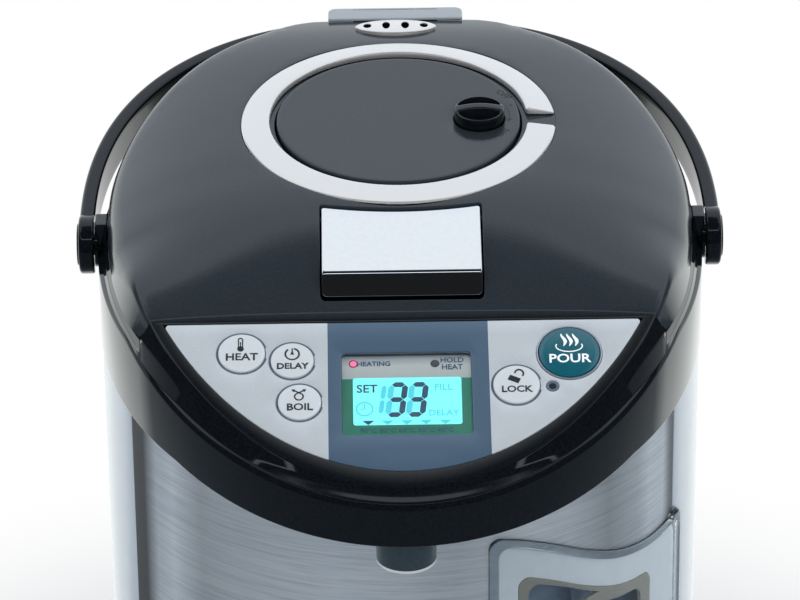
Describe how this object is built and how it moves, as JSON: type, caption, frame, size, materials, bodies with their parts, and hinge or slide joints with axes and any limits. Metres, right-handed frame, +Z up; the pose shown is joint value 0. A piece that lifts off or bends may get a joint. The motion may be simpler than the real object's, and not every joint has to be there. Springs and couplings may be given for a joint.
{
  "type": "electric thermo pot",
  "caption": "Electric thermo pot with hinged domed lid, manual pump plate, tilted control panel, spout, level window and bail handle.",
  "frame": {"origin": "on the pot's vertical axis at table level", "axes": "+Z up, -Y towards the spout and panel, +X to the right seen from the front"},
  "size_m": [0.23, 0.2716, 0.3375],
  "materials": {
    "black_plastic": "satin black moulding",
    "gloss_black": "high gloss black",
    "rubber": "matt",
    "zinc_steel": "zinc plated",
    "brushed_steel": "brushed across",
    "pearl_plastic": "pale pearl grey",
    "clear_window": "clear",
    "gauge_print": "printed scale plate",
    "pot_steel": "deep drawn",
    "insulation_felt": "felt wrap",
    "aluminium": "cast",
    "silicone": "translucent silicone",
    "gauge_glass": "clear tube",
    "circuit_board": "coated board",
    "brass": "plated pins",
    "smoky_plastic": "smoky, glossy",
    "display_window": "printed window",
    "lcd_cell": "backlit",
    "lamp_red": "diffused",
    "silver_panel": "pearl silver film",
    "grey_hinge": "satin grey",
    "satin_silver": "satin silver",
    "spring_steel": "bright",
    "chrome": "bright",
    "chrome_plate": "chromed plastic",
    "pale_button": "pearl",
    "teal_button": "teal"
  },
  "bodies": {
    "pot": {"base_ring": "black_plastic", "base_plate": "black_plastic", "rubber_feet": "rubber", "base_screws": "zinc_steel", "outer_shell_front": "brushed_steel", "outer_shell_rear": "pearl_plastic", "level_window": "clear_window", "gauge_backplate": "gauge_print", "inner_pot": "pot_steel", "insulation": "insulation_felt", "heater": "aluminium", "thermostat": "zinc_steel", "motor": "zinc_steel", "pump_housing": "black_plastic", "suction_pipe": "silicone", "gauge_tube": "gauge_glass", "power_board": "circuit_board", "inlet_socket": "black_plastic", "inlet_pins": "brass", "collar": "gloss_black", "latch_keeper": "zinc_steel", "beak_underside": "black_plastic", "nozzle": "smoky_plastic", "tip_valve": "pearl_plastic", "upper_hose": "silicone", "spout_pipe": "silicone", "lcd_lens": "display_window", "lcd_module": "lcd_cell", "control_board": "circuit_board", "tact_switches": "black_plastic", "indicator_lamps": "lamp_red", "panel_fascia": "silver_panel", "hinge_housing": "grey_hinge", "hinge_pin": "zinc_steel", "handle_pivots": "gloss_black"},
    "handle": {"handle": "gloss_black", "handle_grip": "gloss_black", "handle_caps": "gloss_black"},
    "lid": {"lid_shell": "gloss_black", "lid_underside": "pearl_plastic", "lid_gasket": "silicone", "lid_ring": "satin_silver", "bellows": "silicone", "bellows_base": "pearl_plastic", "pump_spring": "spring_steel", "steam_vent": "chrome", "lever_pin": "zinc_steel", "hinge_bracket": "grey_hinge"},
    "press_plate": {"pump_plate": "gloss_black"},
    "lock_knob": {"lock_knob": "gloss_black"},
    "release_lever": {"release_lever": "chrome_plate"},
    "latch_bolt": {"latch_bolt": "black_plastic"},
    "pump_rotor": {"motor_rotor": "zinc_steel", "impeller": "pearl_plastic"},
    "temp_button": {"temp_button": "pale_button"},
    "timer_button": {"timer_button": "pale_button"},
    "reboil_button": {"reboil_button": "pale_button"},
    "unlock_button": {"unlock_button": "pale_button"},
    "dispense_button": {"dispense_button": "teal_button"}
  },
  "joints": [
    {"name": "lid_hinge", "type": "hinge", "parent": "pot", "child": "lid", "pos_m": [0, 0.1025, 0.328], "axis": [-1, 0, 0], "range_deg": [0, 85]},
    {"name": "handle_swing", "type": "hinge", "parent": "pot", "child": "handle", "pos_m": [0, 0, 0.291], "axis": [1, 0, 0], "range_deg": [0, 80]},
    {"name": "plate_press", "type": "slide", "parent": "lid", "child": "press_plate", "axis": [0, 0.0732, -0.9973], "range_m": [0, 0.016], "stiffness_N_per_m": 800, "deforming": ["bellows", "pump_spring"]},
    {"name": "lock_turn", "type": "hinge", "parent": "press_plate", "child": "lock_knob", "pos_m": [0.0288, 0.0142, 0.33274], "axis": [0, -0.0732, 0.9973], "range_deg": [0, 60]},
    {"name": "lever_lift", "type": "hinge", "parent": "lid", "child": "release_lever", "pos_m": [0, -0.044, 0.32176], "axis": [-1, 0, 0], "range_deg": [0, 10], "stiffness_Nm_per_rad": 0.5},
    {"name": "bolt_slide", "type": "slide", "parent": "lid", "child": "latch_bolt", "axis": [0, 1, 0], "range_m": [0, 0.0031]},
    {"name": "rotor_spin", "type": "hinge", "parent": "pot", "child": "pump_rotor", "pos_m": [0.03866, -0.04607, 0.02], "axis": [0, 0, 1], "continuous": true},
    {"name": "temp_button_press", "type": "slide", "parent": "pot", "child": "temp_button", "axis": [0, 0.4115, -0.9114], "range_m": [0, 0.001], "stiffness_N_per_m": 900},
    {"name": "timer_button_press", "type": "slide", "parent": "pot", "child": "timer_button", "axis": [0, 0.4115, -0.9114], "range_m": [0, 0.001], "stiffness_N_per_m": 900},
    {"name": "reboil_button_press", "type": "slide", "parent": "pot", "child": "reboil_button", "axis": [0, 0.4115, -0.9114], "range_m": [0, 0.001], "stiffness_N_per_m": 900},
    {"name": "unlock_button_press", "type": "slide", "parent": "pot", "child": "unlock_button", "axis": [0, 0.4115, -0.9114], "range_m": [0, 0.001], "stiffness_N_per_m": 900},
    {"name": "dispense_button_press", "type": "slide", "parent": "pot", "child": "dispense_button", "axis": [0, 0.4115, -0.9114], "range_m": [0, 0.001], "stiffness_N_per_m": 900}
  ],
  "couplings": [
    {"joint": "bolt_slide", "follows": "lever_lift", "m_per_rad": 0.0173}
  ]
}
